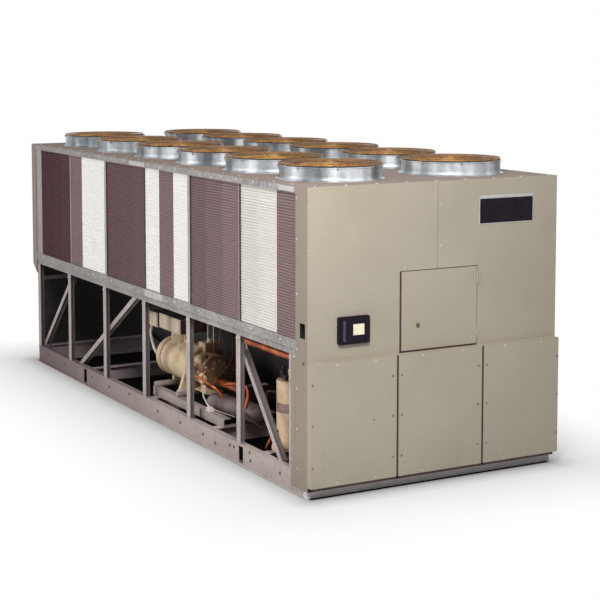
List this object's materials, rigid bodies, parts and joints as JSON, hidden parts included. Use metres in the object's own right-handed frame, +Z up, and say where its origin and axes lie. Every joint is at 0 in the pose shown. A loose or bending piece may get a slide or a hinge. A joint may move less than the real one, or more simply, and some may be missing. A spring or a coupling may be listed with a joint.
{
  "type": "air cooled water chiller",
  "caption": "Packaged air cooled water chiller: two rows of top fans over side condenser coils, open equipment bay with screw compressors, beige control end.",
  "frame": {"origin": "on the ground under the centre of the outer box", "axes": "+X along the length toward the control end, -Y the pictured long side, +Z up"},
  "size_m": [5.98, 2.24, 2.4153],
  "materials": {
    "galvanised": "zinc coated sheet with spangle",
    "beige_paint": "satin powder coat",
    "coil_dark": "louvred coil face in shade",
    "coil_light": "bright louvred coil face",
    "ring_zinc": "bright zinc coated sheet",
    "guard_gold": "yellow passivated wire",
    "dark_metal": "dull dark paint",
    "black_plastic": "fine grained",
    "cast_tan": "paint over rough casting",
    "insulation": "closed cell foam skin",
    "copper": "drawn tube, slightly aged",
    "header_wrap": "grey insulation wrap"
  },
  "bodies": {
    "chiller": {"base_rail_left": "galvanised", "base_rail_right": "galvanised", "base_ends": "galvanised", "base_cross_beams": "galvanised", "posts_left": "galvanised", "posts_right": "galvanised", "braces_left": "galvanised", "braces_right": "galvanised", "mid_rail_left": "galvanised", "mid_rail_right": "galvanised", "far_end_crossbar": "galvanised", "top_rail_left": "galvanised", "top_rail_right": "galvanised", "mullions_left": "galvanised", "mullions_right": "galvanised", "air_baffle": "galvanised", "front_frame": "galvanised", "compressor_skids": "galvanised", "far_end_cover": "beige_paint", "fan_deck": "beige_paint", "control_box": "beige_paint", "upper_panel_left": "beige_paint", "upper_panel_right": "beige_paint", "lower_panels": "beige_paint", "side_panels": "beige_paint", "terminal_boxes": "beige_paint", "coil_dark_left": "coil_dark", "coil_dark_right": "coil_dark", "coil_light_left": "coil_light", "coil_light_right": "coil_light", "fan_rings_left": "ring_zinc", "fan_rings_right": "ring_zinc", "fan_guards_left": "guard_gold", "fan_guards_right": "guard_gold", "fan_rotors": "dark_metal", "fan_motors": "dark_metal", "far_end_panel": "dark_metal", "controller": "black_plastic", "name_plate": "black_plastic", "compressors": "cast_tan", "oil_separators": "cast_tan", "evaporator": "insulation", "copper_pipes": "copper", "suction_headers": "header_wrap"},
    "door": {"access_door": "beige_paint"}
  },
  "joints": [
    {"name": "access_door_hinge", "type": "hinge", "parent": "chiller", "child": "door", "pos_m": [2.9463, 0.365, 1.325], "axis": [0, 0, 1], "range_deg": [0, 105]}
  ]
}
